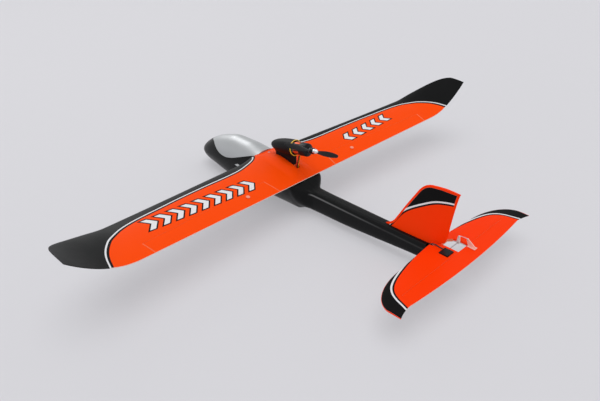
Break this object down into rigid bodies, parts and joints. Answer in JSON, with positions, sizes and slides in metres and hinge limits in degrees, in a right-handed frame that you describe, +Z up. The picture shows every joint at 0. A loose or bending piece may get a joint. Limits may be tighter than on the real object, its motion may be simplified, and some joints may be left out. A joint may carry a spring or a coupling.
{
  "type": "rc motor glider",
  "caption": "Foam radio-control motor glider: pod-and-boom fuselage, high wing with turned-up tips, pusher propeller on a pylon, low tailplane.",
  "frame": {"origin": "on the floor plane, below the middle of the whole length and span", "axes": "+X towards the left wing tip, +Y towards the tail, +Z up"},
  "size_m": [1.1, 0.746, 0.1809],
  "materials": {
    "black_foam": "moulded foam, gloss paint",
    "orange_foam": "moulded foam, painted and decalled",
    "silver_paint": "moulded foam, silver paint",
    "black_plastic": "satin",
    "white_plastic": "satin",
    "yellow_plastic": "satin",
    "steel": "bright",
    "aluminium": "machined",
    "carbon": "carbon fibre tube",
    "plywood": "bare",
    "battery_wrap": "shrink film",
    "shrink_wrap": "shrink film",
    "hook_and_loop": "woven",
    "wire_black": "silicone insulation",
    "wire_red": "silicone insulation",
    "wire_yellow": "silicone insulation"
  },
  "bodies": {
    "airframe": {"fuselage_left": "black_foam", "fuselage_right": "black_foam", "wing_left": "orange_foam", "wing_right": "orange_foam", "wing_joiner_tube": "carbon", "wing_screw": "steel", "fin": "orange_foam", "stabiliser": "orange_foam", "elevator_servo": "black_plastic", "elevator_servo_lead": "wire_black", "motor_pylon": "black_plastic", "motor_nacelle": "black_plastic", "nacelle_ring": "yellow_plastic", "motor_base": "aluminium", "motor_wire_black": "wire_black", "motor_wire_yellow": "wire_yellow", "motor_wire_red": "wire_red", "equipment_tray": "plywood", "battery": "battery_wrap", "battery_pad": "hook_and_loop", "battery_plug": "yellow_plastic", "battery_lead": "wire_red", "speed_controller": "shrink_wrap", "controller_lead": "wire_black", "receiver": "black_plastic", "aileron_servo_left": "black_plastic", "aileron_servo_right": "black_plastic"},
    "canopy": {"canopy_hatch": "silver_paint"},
    "elevator": {"elevator": "orange_foam", "elevator_horn": "white_plastic"},
    "elevator_drive": {"elevator_cross_shaft": "steel", "elevator_arm": "white_plastic"},
    "elevator_rod": {"elevator_pushrod": "steel"},
    "rotor": {"motor_bell": "black_plastic", "motor_shaft": "steel", "prop_collet": "aluminium", "propeller": "black_plastic", "prop_nut": "aluminium"},
    "left_aileron": {"aileron_left": "orange_foam", "aileron_horn_left": "white_plastic", "aileron_horn_plate_left": "white_plastic"},
    "left_arm": {"aileron_servo_arm_left": "white_plastic"},
    "left_rod": {"aileron_pushrod_left": "steel"},
    "right_aileron": {"aileron_right": "orange_foam", "aileron_horn_right": "white_plastic", "aileron_horn_plate_right": "white_plastic"},
    "right_arm": {"aileron_servo_arm_right": "white_plastic"},
    "right_rod": {"aileron_pushrod_right": "steel"}
  },
  "joints": [
    {"name": "left_aileron_hinge", "type": "hinge", "parent": "airframe", "child": "left_aileron", "pos_m": [0.159, -0.04935, 0.09021], "axis": [0.9942, 0.1002, 0.0402], "range_deg": [-20, 20]},
    {"name": "right_aileron_hinge", "type": "hinge", "parent": "airframe", "child": "right_aileron", "pos_m": [-0.159, -0.04935, 0.09021], "axis": [0.9942, -0.1002, -0.0402], "range_deg": [-20, 20]},
    {"name": "left_servo_arm_pivot", "type": "hinge", "parent": "airframe", "child": "left_arm", "pos_m": [0.16426, -0.10108, 0.08921], "axis": [0.9942, 0.1002, 0.0402], "range_deg": [-20, 20]},
    {"name": "right_servo_arm_pivot", "type": "hinge", "parent": "airframe", "child": "right_arm", "pos_m": [-0.16426, -0.10108, 0.08921], "axis": [0.9942, -0.1002, -0.0402], "range_deg": [-20, 20]},
    {"name": "left_rod_pivot", "type": "hinge", "parent": "left_arm", "child": "left_rod", "pos_m": [0.16289, -0.10122, 0.07114], "axis": [0.9942, 0.1002, 0.0402], "range_deg": [-20, 20]},
    {"name": "right_rod_pivot", "type": "hinge", "parent": "right_arm", "child": "right_rod", "pos_m": [-0.16706, -0.1008, 0.07131], "axis": [0.9942, -0.1002, -0.0402], "range_deg": [-20, 20]},
    {"name": "elevator_hinge", "type": "hinge", "parent": "airframe", "child": "elevator", "pos_m": [0, 0.3455, 0.0618], "axis": [1, 0, 0], "range_deg": [-20, 20]},
    {"name": "elevator_drive_pivot", "type": "hinge", "parent": "airframe", "child": "elevator_drive", "pos_m": [0, 0.3275, 0.0605], "axis": [1, 0, 0], "range_deg": [-20, 20]},
    {"name": "elevator_rod_pivot", "type": "hinge", "parent": "elevator_drive", "child": "elevator_rod", "pos_m": [-0.0325, 0.3275, 0.0725], "axis": [1, 0, 0], "range_deg": [-20, 20]},
    {"name": "propeller_spin", "type": "hinge", "parent": "airframe", "child": "rotor", "pos_m": [0, -0.0075, 0.1425], "axis": [0, 0.9836, 0.1805], "continuous": true},
    {"name": "canopy_lift", "type": "slide", "parent": "airframe", "child": "canopy", "axis": [0, 0, 1], "range_m": [0, 0.06]}
  ],
  "couplings": [
    {"joint": "right_aileron_hinge", "follows": "left_aileron_hinge", "ratio": -1},
    {"joint": "left_servo_arm_pivot", "follows": "left_aileron_hinge", "ratio": 1},
    {"joint": "left_rod_pivot", "follows": "left_aileron_hinge", "ratio": -1},
    {"joint": "right_servo_arm_pivot", "follows": "left_aileron_hinge", "ratio": -1},
    {"joint": "right_rod_pivot", "follows": "left_aileron_hinge", "ratio": 1},
    {"joint": "elevator_drive_pivot", "follows": "elevator_hinge", "ratio": 1},
    {"joint": "elevator_rod_pivot", "follows": "elevator_hinge", "ratio": -1}
  ]
}
